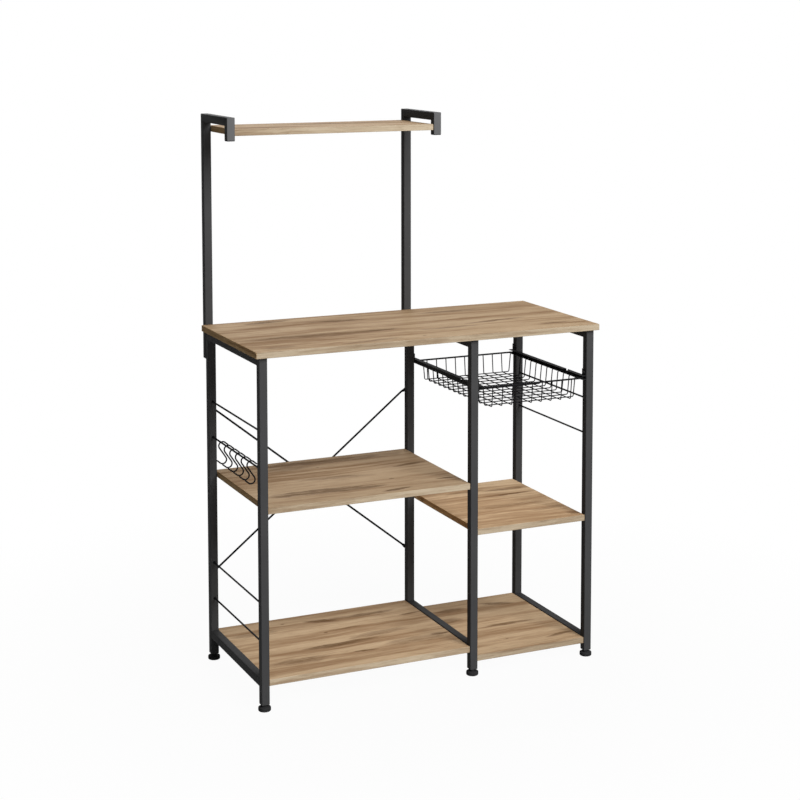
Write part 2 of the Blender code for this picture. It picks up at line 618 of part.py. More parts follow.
def hook_path(pivot):
    """The centre line of an S-hook on the rod at the pivot. Turned half round, it is the same."""
    hang = HOOK_LOOP_CENTRE + HOOK_LOOP_RADIUS - HOOK_WIRE_RADIUS - GAP - ROD_RADIUS
    centre = pivot - UNIT_Z * hang
    lean = math.asin(HOOK_LOOP_RADIUS / HOOK_LOOP_CENTRE)
    above = UNIT_Z * HOOK_LOOP_CENTRE
    loop = arc(above, HOOK_LOOP_RADIUS, math.pi + lean, HOOK_TAIL_ANGLE, 8, UNIT_X, UNIT_Z)
    heading = UNIT_X * math.sin(HOOK_TAIL_ANGLE) - UNIT_Z * math.cos(HOOK_TAIL_ANGLE)
    upper = loop + [loop[-1] + heading * HOOK_TAIL]
    return [centre - point for point in reversed(upper)] + [centre + point for point in upper]


def build_hooks():
    """S-hooks in a row on the hook rod. Each has its origin on the rod's axis, which it swings about."""
    for number in range(HOOK_COUNT):
        y = Y_RAIL_END - HOOK_FIRST - number * HOOK_PITCH
        pivot = Vector((X_LEFT + TUBE / 2, y, HOOK_ROD_HEIGHT))
        bm = bmesh.new()
        add_sweep(bm, hook_path(pivot), UNIT_Y, HOOK_WIRE_RADIUS, WIRE_SIDES)
        make_piece(f"s_hook_{number + 1}", bm, BLACK_WIRE, pivot, smooth=True)


def main():
    clear_scene()
    build_boards()
    legs = build_legs()
    build_rails()
    build_side_rods()
    build_hutch(legs)
    build_braces(legs)
    build_feet()
    build_channels(legs)
    build_basket()
    build_hooks()
    pieces = [item for item in bpy.context.scene.objects if item.type == "MESH"]
    triangles = sum(len(face.vertices) - 2 for piece in pieces for face in piece.data.polygons)
    print(len(pieces), "pieces,", triangles, "triangles")


main()
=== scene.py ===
# %% [markdown]
# # A microwave stand, dressed for its portrait
# The stand is already built at its real size: tubes, boards, a wire basket, hooks and feet. This lesson
# gives each of them its finish, remakes the round and rounded pieces finely, and lights the whole as in a
# studio. We start by loading the model.

# %% Load the model
import json
import math

import bmesh
import bpy
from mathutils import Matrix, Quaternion, Vector


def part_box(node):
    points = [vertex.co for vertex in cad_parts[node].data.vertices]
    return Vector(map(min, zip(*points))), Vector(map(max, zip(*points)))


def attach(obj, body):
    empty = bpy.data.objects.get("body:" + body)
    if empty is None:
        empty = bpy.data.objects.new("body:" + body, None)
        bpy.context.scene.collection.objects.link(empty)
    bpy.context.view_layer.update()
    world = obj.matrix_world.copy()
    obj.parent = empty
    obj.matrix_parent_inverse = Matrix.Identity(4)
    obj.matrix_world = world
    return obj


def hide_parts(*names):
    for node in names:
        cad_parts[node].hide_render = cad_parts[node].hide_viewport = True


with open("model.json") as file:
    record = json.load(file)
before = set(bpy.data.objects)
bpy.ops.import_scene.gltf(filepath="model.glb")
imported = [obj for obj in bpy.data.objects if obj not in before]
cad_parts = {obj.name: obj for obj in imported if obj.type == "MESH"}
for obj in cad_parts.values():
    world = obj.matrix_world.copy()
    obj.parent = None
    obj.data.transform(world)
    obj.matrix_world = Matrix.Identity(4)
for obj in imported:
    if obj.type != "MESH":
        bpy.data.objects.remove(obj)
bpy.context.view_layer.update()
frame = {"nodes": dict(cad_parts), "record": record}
nodes = frame["nodes"]

# %% [markdown]
# ## Where things are
# The model is in metres. Its front faces -Y, and its origin is on the floor under the middle of its
# footprint. Most sizes are read from the boxes of the nodes. We round them to a hundredth of a
# millimetre, because a box comes from 32-bit numbers.

# %% Read the places
X_UNIT, Y_UNIT, Z_UNIT = Vector((1, 0, 0)), Vector((0, 1, 0)), Vector((0, 0, 1))
BOX_DECIMALS = 5


def box_of(node):
    """The lowest and highest corner of a node."""
    low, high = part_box(node)
    return Vector(round(c, BOX_DECIMALS) for c in low), Vector(round(c, BOX_DECIMALS) for c in high)


def middle_of(node):
    low, high = box_of(node)
    return (low + high) / 2


print("worktop from", tuple(box_of("worktop")[0]), "to", tuple(box_of("worktop")[1]))

# %% [markdown]
# ## The camera
# The photograph was taken from the front left with a long lens. A long lens far away keeps the legs
# nearly parallel. The stand sits low in the picture, so the lens is shifted down instead of tilted. The
# numbers were worked out from the photograph, for a worktop centred over the origin, so the camera moves
# with the worktop.

# %% Place the camera
PHOTO_SIDE_PX = 800
FOCAL_LENGTH_PX = 1782.3
PHOTO_CENTRE_PX = (417.57, 179.59)
SENSOR_WIDTH_MM = 36
CAMERA_FROM_WORKTOP = Vector((-1.79475, -3.97229, 0))
CAMERA_HEIGHT = 1.61403
YAW = 0.43385
PITCH = -0.0928
CLIP_END = 50

camera_data = bpy.data.cameras.new("portrait_camera")
camera_data.sensor_width = SENSOR_WIDTH_MM
camera_data.lens = FOCAL_LENGTH_PX / PHOTO_SIDE_PX * SENSOR_WIDTH_MM
camera_data.shift_x = (PHOTO_SIDE_PX / 2 - PHOTO_CENTRE_PX[0]) / PHOTO_SIDE_PX
camera_data.shift_y = (PHOTO_CENTRE_PX[1] - PHOTO_SIDE_PX / 2) / PHOTO_SIDE_PX
camera_data.clip_end = CLIP_END
camera = bpy.data.objects.new("portrait_camera", camera_data)
camera.location = CAMERA_FROM_WORKTOP + Vector((0, middle_of("worktop").y, CAMERA_HEIGHT))
camera.rotation_euler = (math.radians(90) + PITCH, 0, -YAW)
bpy.context.scene.collection.objects.link(camera)
bpy.context.scene.camera = camera
print("camera at", tuple(round(c, 3) for c in camera.location), "lens", round(camera_data.lens, 1), "mm")

# %% [markdown]
# ## Writing shader maths as sums
# A material is a net of small nodes. Drawing a line for every addition is tedious, so this class wraps a
# node's output socket and lets Python's own operators add the Math nodes.

# %% A wrapper for sockets
class Socket:
    def __init__(self, tree, socket):
        self.tree = tree
        self.socket = socket

    def maths(self, operation, other=None, flip=False, clamp=False):
        made = self.tree.nodes.new("ShaderNodeMath")
        made.operation = operation
        made.use_clamp = clamp
        first, second = (other, self) if flip else (self, other)
        for slot, value in zip(made.inputs, (first, second)):
            if isinstance(value, Socket):
                self.tree.links.new(value.socket, slot)
            elif value is not None:
                slot.default_value = value
        return Socket(self.tree, made.outputs[0])

    def __add__(self, other):
        return self.maths("ADD", other)

    def __radd__(self, other):
        return self.maths("ADD", other, flip=True)

    def __sub__(self, other):
        return self.maths("SUBTRACT", other)

    def __rsub__(self, other):
        return self.maths("SUBTRACT", other, flip=True)

    def __mul__(self, other):
        return self.maths("MULTIPLY", other)

    def __rmul__(self, other):
        return self.maths("MULTIPLY", other, flip=True)

    def __gt__(self, other):
        return self.maths("GREATER_THAN", other)

    def __lt__(self, other):
        return self.maths("LESS_THAN", other)

    def clamped(self):
        return self.maths("ADD", 0.0, clamp=True)


def largest(values):
    """The largest of several values at each point."""
    first, *others = values
    for other in others:
        first = first.maths("MAXIMUM", other)
    return first


# %% [markdown]
# ## A finish
# A net makes every other node with one method, `node`: its type, its settings, then the values or links
# of its inputs. A finish is the net of one material. Its other methods are short names for nodes that we
# use often.

# %% A net of nodes and a finish
class Net:
    def __init__(self, tree):
        self.tree = tree

    def node(self, kind, settings=None, inputs=None, output=0):
        """A node of any kind. output says which of its sockets to use, and a tuple names several."""
        made = self.tree.nodes.new("ShaderNode" + kind)
        for key, value in (settings or {}).items():
            setattr(made, key, value)
        for key, value in (inputs or {}).items():
            if isinstance(value, Socket):
                self.tree.links.new(value.socket, made.inputs[key])
            else:
                made.inputs[key].default_value = value
        if isinstance(output, tuple):
            return [Socket(self.tree, made.outputs[key]) for key in output]
        return Socket(self.tree, made.outputs[output])


class Finish(Net):
    def __init__(self, name, **constants):
        self.material = bpy.data.materials.new(name)
        self.material.use_nodes = True
        super().__init__(self.material.node_tree)
        self.shader = self.tree.nodes["Principled BSDF"]
        for socket, value in constants.items():
            self.shader.inputs[socket.replace("_", " ")].default_value = value

    def place(self, move=(0, 0, 0)):
        """Object coordinates, moved."""
        return self.node("Mapping", {}, {"Vector": self.node("TexCoord", output=3), "Location": move})

    def noise(self, vector, scale, detail=2.0, roughness=0.5):
        inputs = {"Vector": vector, "Scale": scale, "Detail": detail, "Roughness": roughness}
        return self.node("TexNoise", {}, inputs)

    def between(self, value, low, high):
        """0 at low, 1 at high, straight between and level beyond."""
        return self.node("MapRange", {"clamp": True}, {"Value": value, "From Min": low, "From Max": high})

    def mix(self, factor, first, second):
        """The first colour where the factor is 0, and the second where it is 1."""
        first, second = (c if isinstance(c, Socket) else (*c, 1.0) for c in (first, second))
        return self.node("Mix", {"data_type": "RGBA"}, {0: factor, 6: first, 7: second}, 2)

    def scaled(self, colour, scale):
        return self.node("VectorMath", {"operation": "SCALE"}, {0: colour, "Scale": scale})

    def tinted(self, colour, tint):
        return self.node("VectorMath", {"operation": "MULTIPLY"}, {0: colour, 1: tint})

    def feed(self, socket, value):
        self.tree.links.new(value.socket, self.shader.inputs[socket])

    def bump(self, height, distance, strength):
        inputs = {"Height": height, "Distance": distance, "Strength": strength}
        self.feed("Normal", self.node("Bump", {}, inputs))


# %% [markdown]
# ## The oak boards
# The boards are chipboard with an oak-look surface: a tan ground, brown smears along the grain, short
# dark dashes, fine grain lines, and a few knots that the grain flows round. Noise that is squeezed across
# the grain and stretched along it makes them all. Two smooth waves bend everything, because no tree grows
# straight. The edges carry a thin band of the same pattern, whose grain follows the edge.

# %% Lay the grain
OAK_GLOSS = 0.015
BAND_THICKNESS = 0.0006
SLOW_STRETCH, SLOW_SQUEEZE, SLOW_REACH = 2.2, 5.0, 0.036
QUICK_STRETCH, QUICK_SQUEEZE, QUICK_REACH = 13.0, 30.0, 0.012
DEPTH_SQUEEZE = 1.3
KNOT_REACH, KNOT_PUSH = 2.6, -0.75
EYE_LENGTH, EYE_WIDTH, EYE_SLOPE = 0.35, 0.13, 0.05


class Oak(Finish):
    """Wood with its grain along X, and along Y in the bands of its two ends. start shifts the pattern."""

    def __init__(self, name, board, start):
        super().__init__(name, Specular_IOR_Level=OAK_GLOSS)
        low, high = box_of(board)
        half = (high - low) / 2
        centred = self.place(tuple(-c for c in middle_of(board)))
        x, y, self.z = self.node("SeparateXYZ", {}, {0: centred}, (0, 1, 2))
        self.start = start
        self.eyes = []
        self.end_band = x.maths("ABSOLUTE") > half.x - BAND_THICKNESS
        self.side_band = y.maths("ABSOLUTE") > half.y - BAND_THICKNESS
        self.along = x + (y - x) * self.end_band
        self.across = y + (x - y) * self.end_band
        slow = self.wave(SLOW_STRETCH, SLOW_SQUEEZE, start, 2.0)
        quick = self.wave(QUICK_STRETCH, QUICK_SQUEEZE, (start[1], 0, start[0]), 3.0)
        self.bent = self.across + (slow - 0.5) * SLOW_REACH + (quick - 0.5) * QUICK_REACH

    def wave(self, stretch, squeeze, shift, detail):
        """Smooth noise over the board."""
        along = self.along * stretch + shift[0]
        across = self.across * squeeze + shift[1]
        return self.noise(self.node("CombineXYZ", {}, {0: along, 1: across, 2: shift[2]}), 1.0, detail)

    def grain(self, stretch, squeeze, detail, roughness, offset):
        """Noise that follows the bent grain."""
        along = self.along * stretch + (self.start[0] + offset)
        across = self.bent * squeeze + self.start[1]
        deep = self.z * (squeeze * DEPTH_SQUEEZE) + self.start[2]
        place = self.node("CombineXYZ", {}, {0: along, 1: across, 2: deep})
        return self.noise(place, 1.0, detail, roughness)

    def lens(self, across, middle_x, middle_y, half_length, half_width, slope):
        """1 along the middle of a long thin lens, 0 from its rim on."""
        from_middle = self.along - middle_x
        lengthwise = from_middle * (1 / half_length)
        sideways = (across - middle_y - from_middle * slope) * (1 / half_width)
        return (1 - lengthwise * lengthwise - sideways * sideways).clamped()

    def flow_round(self, x, y, size):
        """Push the grain away from a knot, and keep the knot's eye."""
        near = self.lens(self.across, x, y, size * KNOT_REACH, size, 0)
        self.bent = self.bent + near * near * (self.across - y) * KNOT_PUSH
        self.eyes.append(self.lens(self.across, x, y, size * EYE_LENGTH, size * EYE_WIDTH, EYE_SLOPE))


# %% [markdown]
# ## Painting the oak
# Four noises, from broad to fine, are cut into masks, and each mask mixes one more brown into the pale
# ground. A noise mostly lies near 0.5, so most masks rise there. The bold smears give each board its own
# face, so they are placed one by one, as long lenses with ragged rims. The front and back bands are a
# little greyer than the tops. Each board also carries painted light: its top and bands are made paler or
# darker for the light the lamps give it, and its ends, which stand in shade, are painted paler and a
# little redder.

# %% A finish for oak
OAK_DARK = (0.105, 0.052, 0.020)
OAK_BROWN = (0.245, 0.143, 0.073)
OAK_MIDDLE = (0.400, 0.266, 0.153)
OAK_PALE = (0.535, 0.385, 0.240)
BAND_TINT = (0.85, 0.97, 1.12)
# Painted light on the ends, which the lamps leave in shade: paler and a little redder.
END_PAINTED_LIGHT = (1.38, 1.30, 1.08)
# Stretch, squeeze, detail, roughness and offset of each noise.
BROAD = (1.7, 22.0, 4.0, 0.58, 0.0)
FIGURE = (4.2, 78.0, 4.0, 0.65, 3.7)
DASHES = (22.0, 220.0, 3.0, 0.65, 7.3)
FINE = (22.0, 540.0, 3.0, 0.6, 9.1)
# Where each mask is 0 and where it is 1.
TONE_SPAN, SMEAR_SPAN, DASH_SPAN, LINE_SPAN = (0.40, 0.60), (0.52, 0.38), (0.52, 0.70), (0.50, 0.70)
FIBRE_SPAN, CRACK_SPAN, CRACK_FIGURE = (0.40, 0.60), (0.60, 0.66), (0.56, 0.62)
SMEAR_CORE, RAGGED_BY_FIGURE, RAGGED_BY_DASHES = 1.25, 1.9, 3.6
SMEAR_SHARE, LINE_SHARE, CRACK_SHARE, EYE_SHARE = 0.75, 0.35, 0.60, 0.8
OAK_ROUGHNESS, SHEEN_CHANGE = 0.66, 0.10
GRAIN_DEPTH, GRAIN_STRENGTH = 0.00025, 0.6


def bold_smears(wood, streaks, figure, dashes):
    """The streaks of a board, each a lens in the bent grain with a strength."""
    ragged = (figure - 0.5) * RAGGED_BY_FIGURE + (dashes - 0.5) * RAGGED_BY_DASHES
    smears = []
    for *streak, strength in streaks:
        shape = wood.lens(wood.bent, *streak)
        smears.append((shape * SMEAR_CORE + ragged * shape.maths("SQRT")).clamped() * strength)
    return largest(smears)


def oak(name, board, start, board_painted_light, band_painted_light, streaks, knots):
    """Oak for one board, with painted light: one factor for the whole board, one for its front and back
    bands.
    """
    wood = Oak(name, board, start)
    for knot in knots:
        wood.flow_round(*knot)
    broad, figure, dashes, fine = (wood.grain(*kind) for kind in (BROAD, FIGURE, DASHES, FINE))
    bold = bold_smears(wood, streaks, figure, dashes)
    tone = wood.between(broad * 0.6 + figure * 0.4, *TONE_SPAN)
    smear = wood.between(broad * 0.65 + figure * 0.35, *SMEAR_SPAN)
    marks = wood.between(dashes, *DASH_SPAN) * (0.30 + 0.55 * smear)
    lines = wood.between(fine, *LINE_SPAN)
    thread = dashes * 0.5 + fine * 0.5
    fibres = wood.between(thread, *FIBRE_SPAN)
    cracks = wood.between(thread, *CRACK_SPAN) * wood.between(figure, *CRACK_FIGURE)
    colour = wood.mix(tone, OAK_MIDDLE, OAK_PALE)
    for mask in (smear * SMEAR_SHARE, marks, lines * LINE_SHARE):
        colour = wood.mix(mask, colour, OAK_BROWN)
    darker = [bold * (0.62 + 0.34 * fibres), cracks * CRACK_SHARE]
    if wood.eyes:
        darker.append(largest(wood.eyes).maths("SQRT") * EYE_SHARE)
    for mask in darker:
        colour = wood.mix(mask, colour, OAK_DARK)
    # Painted light: the whole board, its front and back bands and its ends are made paler or darker, as the
    # lamps would light them.
    top = wood.scaled(colour, board_painted_light)
    side = wood.tinted(top, tuple(band_painted_light * c for c in BAND_TINT))
    end = wood.tinted(top, END_PAINTED_LIGHT)
    wood.feed("Base Color", wood.mix(wood.end_band, wood.mix(wood.side_band, top, side), end))
    wood.feed("Roughness", OAK_ROUGHNESS - SHEEN_CHANGE * tone + SHEEN_CHANGE * lines)
    wood.bump(fine * 0.6 + dashes * 0.4 - bold * 0.4, GRAIN_DEPTH, GRAIN_STRENGTH)
    return wood.material


# %% [markdown]
# ## Six boards
# For each board we give where its pattern starts, the painted light on its whole face and the painted light
# on its front and back bands, then its streaks and knots. A streak is the middle of the lens from the
# board's middle, its half length and half width, its slope and its strength. A knot is its middle and its
# size. The places follow the photograph, in metres.

# %% Mark the streaks of each board
BOARDS = {
    "worktop": (
        (0.0, 0.0, 0.0), 0.92, 0.94,
        [(-0.26, -0.052, 0.20, 0.026, 0.0, 0.60), (-0.30, -0.050, 0.13, 0.012, 0.0, 0.90),
         (-0.09, -0.045, 0.08, 0.011, 0.04, 1.0), (-0.29, 0.168, 0.07, 0.015, 0.1, 0.85),
         (-0.12, 0.115, 0.09, 0.015, -0.1, 0.90), (0.20, 0.126, 0.10, 0.017, -0.04, 0.80),
         (0.24, -0.040, 0.10, 0.010, 0.15, 0.80), (0.09, -0.080, 0.10, 0.012, 0.0, 0.55),
         (0.36, -0.133, 0.05, 0.009, 0.1, 0.95), (-0.15, -0.170, 0.09, 0.013, 0.15, 0.60),
         (-0.38, -0.160, 0.05, 0.020, 0.0, 0.45)],
        [(-0.01, -0.160, 0.018)]),
    "mid_shelf_left": (
        (3.1, 0.7, 0.2), 0.80, 1.17,
        [(0.02, 0.155, 0.22, 0.025, 0.0, 0.80), (-0.10, 0.120, 0.10, 0.020, 0.0, 0.55),
         (0.21, 0.045, 0.06, 0.011, 0.17, 0.90), (-0.10, -0.107, 0.15, 0.022, 0.0, 0.90),
         (0.00, -0.120, 0.08, 0.014, 0.0, 0.80), (0.235, -0.120, 0.035, 0.006, -0.1, 1.0),
         (0.08, -0.162, 0.05, 0.008, 0.2, 0.95), (-0.015, 0.0, 0.11, 0.018, -0.1, 0.50)],
        [(0.105, -0.070, 0.026), (-0.02, 0.105, 0.016)]),
    "mid_shelf_right": (
        (5.3, 2.9, 0.4), 1.24, 0.74,
        [(0.06, 0.055, 0.10, 0.008, 0.0, 0.95), (0.09, 0.102, 0.08, 0.013, 0.0, 0.80),
         (-0.03, 0.115, 0.06, 0.014, 0.0, 0.60), (0.02, -0.038, 0.11, 0.014, 0.0, 0.60),
         (0.135, -0.155, 0.02, 0.015, -0.3, 0.90), (0.10, -0.095, 0.06, 0.010, 0.0, 0.50)],
        []),
    "bottom_shelf_left": (
        (7.7, 1.3, 0.9), 1.02, 1.04,
        [(0.0, 0.132, 0.05, 0.013, -0.2, 1.0), (0.11, 0.135, 0.10, 0.011, 0.0, 0.80),
         (-0.19, 0.110, 0.07, 0.020, 0.0, 0.60), (-0.022, 0.055, 0.007, 0.004, 0.0, 1.0),
         (0.03, 0.060, 0.05, 0.005, 0.0, 0.60), (0.23, 0.098, 0.04, 0.006, 0.08, 0.95),
         (-0.02, -0.035, 0.11, 0.014, 0.02, 0.95), (0.10, -0.005, 0.09, 0.020, 0.1, 0.60),
         (0.022, -0.108, 0.035, 0.007, -0.15, 1.0), (-0.152, -0.106, 0.09, 0.022, 0.0, 0.65),
         (0.235, -0.078, 0.035, 0.011, 0.05, 0.90), (0.16, -0.090, 0.09, 0.025, 0.0, 0.50)],
        [(-0.10, 0.150, 0.018)]),
    "bottom_shelf_right": (
        (9.2, 3.8, 0.1), 0.975, 0.98,
        [(0.07, 0.130, 0.05, 0.013, -0.3, 0.85), (0.02, -0.017, 0.09, 0.011, 0.03, 0.90),
         (0.105, -0.147, 0.045, 0.007, 0.1, 0.95), (-0.07, 0.127, 0.05, 0.018, 0.0, 0.70),
         (-0.11, 0.060, 0.05, 0.018, 0.0, 0.60)],
        [(-0.03, -0.120, 0.016)]),
    "top_shelf": (
        (11.4, 2.2, 0.6), 0.97, 0.92,
        [(0.05, 0.030, 0.19, 0.010, 0.0, 0.80), (-0.16, -0.050, 0.10, 0.009, 0.0, 0.80)],
        []),
}
print(sum(len(row[3]) for row in BOARDS.values()), "streaks on", len(BOARDS), "boards")

# %% [markdown]
# ## The black coat
# The steel is powder coated: black, matte, and pebbled very finely, like the skin of an orange. A fine
# noise feeds a Bump node for the pebbles, and a slow one makes the tone and the sheen uneven, as on real
# coated tubes. The fronts of the two short drops look paler than all other steel, so the brackets' coat
# carries painted light there: the same black, made paler on those front faces.

# %% Finishes for steel and plastic
COAT_GLOSS = 0.008
CLOUD_SCALE = 9.0
TONE_SPREAD = 0.14
SHEEN_SPREAD = 0.06
PEBBLE_STRENGTH = 0.6
FRONT_PAINTED_LIGHT = 2.1
FRONT_DEPTH = 0.0006
STEEL_BLACK = (0.047, 0.047, 0.048)
SHEET_PAINTED_SHADE = (0.020, 0.020, 0.021)
WIRE_BLACK = (0.011, 0.011, 0.012)
SCREW_BLACK = (0.03, 0.03, 0.031)
PLASTIC_BLACK = (0.025, 0.025, 0.026)


def powder_coat(name, colour, roughness, pebble=0.00012, scale=900.0, painted_light_front=None):
    """A black coat. Where Y is below the given front, it is made paler: painted light."""
    finish = Finish(name, Specular_IOR_Level=COAT_GLOSS)
    cloud = finish.noise(finish.place(), CLOUD_SCALE, 3.0)
    fine = finish.noise(finish.place(), scale, 2.0)
    darker, paler = (tuple(c * (1 + change) for c in colour) for change in (-TONE_SPREAD, TONE_SPREAD))
    tone = finish.mix(cloud, darker, paler)
    if painted_light_front is not None:
        y = finish.node("SeparateXYZ", {}, {0: finish.place()}, 1)
        tone = finish.mix(y < painted_light_front, tone, finish.scaled(tone, FRONT_PAINTED_LIGHT))
    finish.feed("Base Color", tone)
    finish.feed("Roughness", roughness - SHEEN_SPREAD + 2 * SHEEN_SPREAD * cloud)
    finish.bump(fine, pebble, PEBBLE_STRENGTH)
    return finish.material


drop_front = box_of("hutch_bracket_left")[0].y + FRONT_DEPTH
steel_coat = powder_coat("black_powder_coat", STEEL_BLACK, 0.5)
# Painted light: the front faces of the brackets' drops get a paler tone, as if more light fell there.
bracket_coat_painted_light = powder_coat("black_bracket_coat_painted_light", STEEL_BLACK, 0.5, painted_light_front=drop_front)
# Painted shade: the channels' coat is a blacker copy of the steel coat.
sheet_coat_painted_shade = powder_coat("black_sheet_coat_painted_shade", SHEET_PAINTED_SHADE, 0.5)
wire_coat = powder_coat("black_wire_coat", WIRE_BLACK, 0.45)
screw_coat = powder_coat("blackened_screw", SCREW_BLACK, 0.35)
foot_plastic = powder_coat("moulded_black_plastic", PLASTIC_BLACK, 0.55, pebble=0.00008, scale=1500.0)
print("finishes:", len(bpy.data.materials))

# %% [markdown]
# ## Finishes on the finished nodes
# The boards, legs, rails and channels keep their shapes from the model and only change their material.
# The record says which slot each node belongs to. The channels are thin sheet; their coat is a blacker
# copy of the tubes' coat, painted shade for their faces, which turn away from the light.

# %% Put the finishes on the nodes
SLOT_COATS = {"black_steel": steel_coat, "black_wire": wire_coat, "black_screw": screw_coat,
              "black_plastic": foot_plastic}
CHANNELS = ("basket_channel_left", "basket_channel_right")

slots = {entry["node"]: entry["material_slot"] for entry in frame["record"]["subparts"]}
for name, piece in nodes.items():
    if name in BOARDS:
        coat = oak("oak_" + name, name, *BOARDS[name])
    elif name in CHANNELS:
        coat = sheet_coat_painted_shade
    else:
        coat = SLOT_COATS[slots[name]]
    piece.data.materials.clear()
    piece.data.materials.append(coat)
print(len(BOARDS), "boards in oak and", len(nodes) - len(BOARDS), "nodes in black")

# %% [markdown]
# ## Modelling as by hand
# Each new piece starts as one of Blender's primitives and is shaped in edit mode. These helpers do what
# the mouse would do: deselect everything, open one piece for editing, pick faces by where they are,
# extrude them and scale them. Round pieces all start as a disc.

# %% Helpers for shaping
# A face looks along an axis if its normal has at least this much there.
FACING = 0.9


def deselect():
    bpy.ops.object.select_all(action="DESELECT")


def settle():
    """Put the place, turn and scale of the selected piece into its mesh."""
    bpy.ops.object.transform_apply(location=True, rotation=True, scale=True)


def only(piece):
    """Select this piece and nothing else."""
    deselect()
    piece.select_set(True)
    bpy.context.view_layer.objects.active = piece


def edit(piece, mode="FACE"):
    """Open the piece in edit mode with nothing picked."""
    only(piece)
    bpy.ops.object.mode_set(mode="EDIT")
    bpy.ops.mesh.select_mode(type=mode)
    bpy.ops.mesh.select_all(action="DESELECT")


def pick(piece, test):
    """Pick the faces for which test(middle, normal) holds."""
    work = bmesh.from_edit_mesh(piece.data)
    for face in work.faces:
        face.select_set(bool(test(face.calc_center_median(), face.normal)))
    bmesh.update_edit_mesh(piece.data)


def aim(along):
    """The rotation that turns Z to point along a direction."""
    return along.to_track_quat("Z", "Y").to_euler()


def disc(place, turn, radius, sides):
    """A round face, open in edit mode and picked."""
    deselect()
    bpy.ops.mesh.primitive_circle_add(vertices=sides, radius=radius, fill_type="NGON",
                                      location=place, rotation=turn)
    piece = bpy.context.object
    settle()
    bpy.ops.object.mode_set(mode="EDIT")
    bpy.ops.mesh.select_mode(type="FACE")
    bpy.ops.mesh.select_all(action="SELECT")
    return piece


def push(along):
    """Extrude what is picked."""
    bpy.ops.mesh.extrude_region_move(TRANSFORM_OT_translate={"value": along})


def resize(scale, middle):
    """Scale what is picked about a point."""
    bpy.ops.transform.resize(value=scale, center_override=middle)


# %% [markdown]
# ## Finishing a piece
# A shaped piece has its doubled corners merged and its faces turned outwards. It keeps its place in its
# mesh, so its object ends at the origin, unturned and unscaled, as the nodes of the model do.

# %% Helpers for finishing
MERGE_WITHIN = 0.000005


def tidy_mesh():
    """Merge doubled corners of the open piece, then turn its faces outwards."""
    bpy.ops.mesh.select_all(action="SELECT")
    bpy.ops.mesh.remove_doubles(threshold=MERGE_WITHIN)
    bpy.ops.mesh.normals_make_consistent(inside=False)
    bpy.ops.object.mode_set(mode="OBJECT")


def boolean(piece, operation, tool):
    """Cut or join a piece with a tool, and remove the tool."""
    only(piece)
    modifier = piece.modifiers.new("BOOLEAN", "BOOLEAN")
    modifier.operation = operation
    modifier.object = tool
    modifier.solver = "EXACT"
    bpy.ops.object.modifier_apply(modifier=modifier.name)
    bpy.data.objects.remove(tool)


def copy_of(piece, shift):
    """A copy with its own mesh, moved by shift."""
    only(piece)
    bpy.ops.object.duplicate(linked=False)
    made = bpy.context.object
    bpy.ops.transform.translate(value=shift)
    settle()
    return made


def join(pieces):
    deselect()
    for piece in pieces:
        piece.select_set(True)
    bpy.context.view_layer.objects.active = pieces[0]
    bpy.ops.object.join()
    return bpy.context.object


def finished(piece, name, body, slot, coat, *replaced, smooth=40):
    only(piece)
    piece.name = piece.data.name = name
    settle()
    bpy.ops.object.shade_smooth_by_angle(angle=math.radians(smooth))
    piece.data.materials.clear()
    piece.data.materials.append(coat)
    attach(piece, body)
    if replaced:
        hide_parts(*replaced)


# %% [markdown]
# ## A wire bender
# The basket and the hooks are drawn wire. A bending machine pushes wire out straight, then swings it
# round a pin, and again. We do the same with a disc: Extrude is the push, and Spin is the swing. Spin
# turns clockwise for a positive angle, so we give it a negative one.

# %% Push and swing
SPIN_STEP = math.radians(15)
DOME_DEGREES = (20, 45, 70, 90)


def bend_wire(radius, start, heading, moves, sides=12, tips=False):
    """A wire from start. A move is (length,) for a push, or (axis, angle, bend radius) for a swing."""
    at, heading = Vector(start), Vector(heading).normalized()
    dome = [math.radians(a) for a in (DOME_DEGREES if tips else (90,))]
    wire = disc(at, aim(heading), radius * math.sin(dome[0]), sides)

    def ring(step, wider):
        nonlocal at
        at = at + heading * step
        push(heading * step)
        if wider != 1:
            resize((wider,) * 3, at)

    for low, high in zip(dome, dome[1:]):
        ring(radius * (math.cos(low) - math.cos(high)), math.sin(high) / math.sin(low))
    for move in moves:
        if len(move) == 1:
            ring(move[0], 1)
            continue
        axis, angle, bend = move
        centre = at + axis.cross(heading) * bend
        steps = max(2, math.ceil(angle / SPIN_STEP))
        bpy.ops.mesh.spin(steps=steps, angle=-angle, center=centre, axis=axis)
        turn = Quaternion(axis, angle)
        at = centre + turn @ (at - centre)
        heading = turn @ heading
    for low, high in reversed(list(zip(dome, dome[1:]))):
        ring(radius * (math.cos(low) - math.cos(high)), math.sin(low) / math.sin(high))
    return wire


def moves_along(corners, bends):
    """The pushes and swings that lead through corners, each rounded with its bend radius."""
    moves = []
    cut = 0.0
    for place, (here, after) in enumerate(zip(corners, corners[1:])):
        straight = after - here
        if place < len(bends):
            following = corners[place + 2] - after
            angle = straight.angle(following)
            axis = straight.cross(following).normalized()
            next_cut = bends[place] * math.tan(angle / 2)
            moves += [(straight.length - cut - next_cut,), (axis, angle, bends[place])]
            cut = next_cut
        else:
            moves.append((straight.length - cut,))
    return moves


# %% [markdown]
# ## The basket's rim
# The real basket is a rim of thicker wire, bent into a rounded rectangle and butt welded, with U-shaped
# wires spot welded to it. The weld of the rim is where its two ends meet, at the back, so we remove both
# end faces there and merge the rings. The model's rim is a six-sided bar, whose flat top lies a little
# under the round wire's height.

# %% Bend the rim
RIM_RADIUS = 0.0022
RIM_CORNER = 0.010
HEXAGON_FLAT = math.cos(math.radians(30))
SEAM_WITHIN = 0.0001

